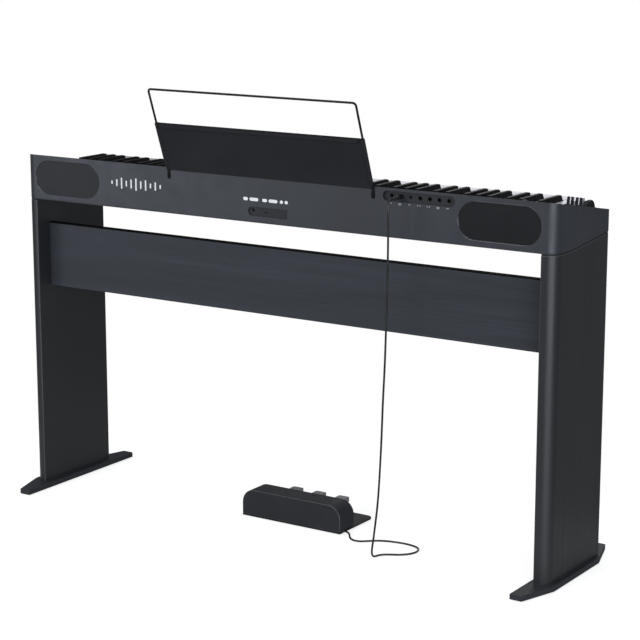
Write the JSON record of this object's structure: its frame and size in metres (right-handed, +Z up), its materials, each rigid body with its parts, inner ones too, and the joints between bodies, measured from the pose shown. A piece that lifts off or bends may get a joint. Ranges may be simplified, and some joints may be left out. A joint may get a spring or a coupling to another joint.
{
  "type": "digital piano on stand",
  "caption": "Slim digital piano with sprung keys on a board stand, with a lift-off wire music rest and a corded pedal unit on the floor.",
  "frame": {"origin": "on the floor, below the middle of the stand's footprint", "axes": "+X along the keyboard to the treble end, -Y towards the player, +Y the rear, +Z up"},
  "size_m": [1.341, 0.376, 0.9463],
  "materials": {
    "leg_laminate": "satin laminate with fine vertical grain",
    "apron_laminate": "satin laminate with fine level grain",
    "case_plastic": "fine satin",
    "deck_gloss": "gloss black inlay",
    "pad_rubber": "matt",
    "zinc_steel": "zinc plated",
    "black_steel": "satin black paint",
    "felt": "wool felt",
    "grey_plastic": "moulded",
    "board": "circuit board",
    "contact_silicone": "matt",
    "key_white": "satin top, gloss sides",
    "key_black": "satin",
    "grille_black": "perforated sheet, satin black",
    "driver_black": "basket and magnet",
    "recess_black": "moulded",
    "socket_black": "moulded",
    "knob_black": "satin with a white pointer line",
    "button_grey": "satin",
    "rest_metal": "satin dark paint",
    "pedal_metal": "gun-metal gloss",
    "housing_plastic": "fine satin",
    "cord_rubber": "glossy jacket"
  },
  "bodies": {
    "case_and_stand": {"side_panel_left": "leg_laminate", "side_panel_right": "leg_laminate", "foot_left": "leg_laminate", "foot_right": "leg_laminate", "rear_apron": "apron_laminate", "floor_pads": "pad_rubber", "apron_brackets": "black_steel", "stand_bolts": "zinc_steel", "leg_top_pads": "pad_rubber", "lower_case": "case_plastic", "upper_case": "case_plastic", "front_rail": "case_plastic", "touch_panel": "deck_gloss", "key_felts": "felt", "key_chassis": "grey_plastic", "key_pivot_rod": "zinc_steel", "contact_board": "board", "contact_rubber": "contact_silicone", "speaker_grille_left": "grille_black", "speaker_grille_right": "grille_black", "speaker_driver_left": "driver_black", "speaker_driver_right": "driver_black", "jack_plate": "recess_black", "jack_sockets": "socket_black", "port_plate": "recess_black", "port_sockets": "socket_black", "circuit_boards": "board", "control_sensors": "grey_plastic", "wheel_axle": "zinc_steel", "wheel_bracket": "recess_black", "case_screws": "zinc_steel", "rest_sockets": "recess_black", "pedal_base": "black_steel", "pedal_housing": "housing_plastic", "pedal_shaft": "zinc_steel", "pedal_springs": "zinc_steel", "cord_gland": "cord_rubber", "pedal_cord": "cord_rubber", "pedal_plug": "cord_rubber"},
    "key_c": {"keys_c": "key_white"},
    "key_c_sharp": {"keys_c_sharp": "key_black"},
    "key_d": {"keys_d": "key_white"},
    "key_d_sharp": {"keys_d_sharp": "key_black"},
    "key_e": {"keys_e": "key_white"},
    "key_f": {"keys_f": "key_white"},
    "key_f_sharp": {"keys_f_sharp": "key_black"},
    "key_g": {"keys_g": "key_white"},
    "key_g_sharp": {"keys_g_sharp": "key_black"},
    "key_a": {"keys_a": "key_white"},
    "key_a_sharp": {"keys_a_sharp": "key_black"},
    "key_b": {"keys_b": "key_white"},
    "left_pedal": {"pedal_left": "pedal_metal"},
    "middle_pedal": {"pedal_middle": "pedal_metal"},
    "right_pedal": {"pedal_right": "pedal_metal"},
    "wheel": {"pitch_wheel": "knob_black"},
    "rear_knob": {"knob_rear": "knob_black"},
    "front_knob": {"knob_front": "knob_black"},
    "button": {"power_button": "button_grey"},
    "music_rest": {"rest_frame": "rest_metal", "rest_panel": "rest_metal"}
  },
  "joints": [
    {"name": "press_c", "type": "hinge", "parent": "case_and_stand", "child": "key_c", "pos_m": [0, 0.064, 0.738], "axis": [1, 0, 0], "range_deg": [0, 3.28], "stiffness_Nm_per_rad": 4.5, "springref_deg": -11.46},
    {"name": "press_c_sharp", "type": "hinge", "parent": "case_and_stand", "child": "key_c_sharp", "pos_m": [0, 0.064, 0.738], "axis": [1, 0, 0], "range_deg": [0, 3.28], "stiffness_Nm_per_rad": 4.5, "springref_deg": -11.46},
    {"name": "press_d", "type": "hinge", "parent": "case_and_stand", "child": "key_d", "pos_m": [0, 0.064, 0.738], "axis": [1, 0, 0], "range_deg": [0, 3.28], "stiffness_Nm_per_rad": 4.5, "springref_deg": -11.46},
    {"name": "press_d_sharp", "type": "hinge", "parent": "case_and_stand", "child": "key_d_sharp", "pos_m": [0, 0.064, 0.738], "axis": [1, 0, 0], "range_deg": [0, 3.28], "stiffness_Nm_per_rad": 4.5, "springref_deg": -11.46},
    {"name": "press_e", "type": "hinge", "parent": "case_and_stand", "child": "key_e", "pos_m": [0, 0.064, 0.738], "axis": [1, 0, 0], "range_deg": [0, 3.28], "stiffness_Nm_per_rad": 4.5, "springref_deg": -11.46},
    {"name": "press_f", "type": "hinge", "parent": "case_and_stand", "child": "key_f", "pos_m": [0, 0.064, 0.738], "axis": [1, 0, 0], "range_deg": [0, 3.28], "stiffness_Nm_per_rad": 4.5, "springref_deg": -11.46},
    {"name": "press_f_sharp", "type": "hinge", "parent": "case_and_stand", "child": "key_f_sharp", "pos_m": [0, 0.064, 0.738], "axis": [1, 0, 0], "range_deg": [0, 3.28], "stiffness_Nm_per_rad": 4.5, "springref_deg": -11.46},
    {"name": "press_g", "type": "hinge", "parent": "case_and_stand", "child": "key_g", "pos_m": [0, 0.064, 0.738], "axis": [1, 0, 0], "range_deg": [0, 3.28], "stiffness_Nm_per_rad": 4.5, "springref_deg": -11.46},
    {"name": "press_g_sharp", "type": "hinge", "parent": "case_and_stand", "child": "key_g_sharp", "pos_m": [0, 0.064, 0.738], "axis": [1, 0, 0], "range_deg": [0, 3.28], "stiffness_Nm_per_rad": 4.5, "springref_deg": -11.46},
    {"name": "press_a", "type": "hinge", "parent": "case_and_stand", "child": "key_a", "pos_m": [0, 0.064, 0.738], "axis": [1, 0, 0], "range_deg": [0, 3.28], "stiffness_Nm_per_rad": 4.5, "springref_deg": -11.46},
    {"name": "press_a_sharp", "type": "hinge", "parent": "case_and_stand", "child": "key_a_sharp", "pos_m": [0, 0.064, 0.738], "axis": [1, 0, 0], "range_deg": [0, 3.28], "stiffness_Nm_per_rad": 4.5, "springref_deg": -11.46},
    {"name": "press_b", "type": "hinge", "parent": "case_and_stand", "child": "key_b", "pos_m": [0, 0.064, 0.738], "axis": [1, 0, 0], "range_deg": [0, 3.28], "stiffness_Nm_per_rad": 4.5, "springref_deg": -11.46},
    {"name": "press_left_pedal", "type": "hinge", "parent": "case_and_stand", "child": "left_pedal", "pos_m": [0, 0.022, 0.032], "axis": [1, 0, 0], "range_deg": [0, 7], "stiffness_Nm_per_rad": 6, "springref_deg": -11.46},
    {"name": "press_middle_pedal", "type": "hinge", "parent": "case_and_stand", "child": "middle_pedal", "pos_m": [0, 0.022, 0.032], "axis": [1, 0, 0], "range_deg": [0, 7], "stiffness_Nm_per_rad": 6, "springref_deg": -11.46},
    {"name": "press_right_pedal", "type": "hinge", "parent": "case_and_stand", "child": "right_pedal", "pos_m": [0, 0.022, 0.032], "axis": [1, 0, 0], "range_deg": [0, 7], "stiffness_Nm_per_rad": 6, "springref_deg": -11.46},
    {"name": "turn_wheel", "type": "hinge", "parent": "case_and_stand", "child": "wheel", "pos_m": [-0.636, -0.0735, 0.7335], "axis": [1, 0, 0], "range_deg": [-35, 35], "stiffness_Nm_per_rad": 0.05},
    {"name": "turn_rear_knob", "type": "hinge", "parent": "case_and_stand", "child": "rear_knob", "pos_m": [-0.636, 0.009, 0.75389], "axis": [0, -0.174, 0.9847], "range_deg": [-150, 150]},
    {"name": "turn_front_knob", "type": "hinge", "parent": "case_and_stand", "child": "front_knob", "pos_m": [-0.636, -0.0285, 0.74726], "axis": [0, -0.174, 0.9847], "range_deg": [-150, 150]},
    {"name": "press_button", "type": "slide", "parent": "case_and_stand", "child": "button", "axis": [0, 0.174, -0.9847], "range_m": [0, 0.0012], "stiffness_N_per_m": 800, "springref_m": -0.0012},
    {"name": "lift_music_rest", "type": "slide", "parent": "case_and_stand", "child": "music_rest", "axis": [0, 0.342, 0.9397], "range_m": [0, 0.06]}
  ]
}
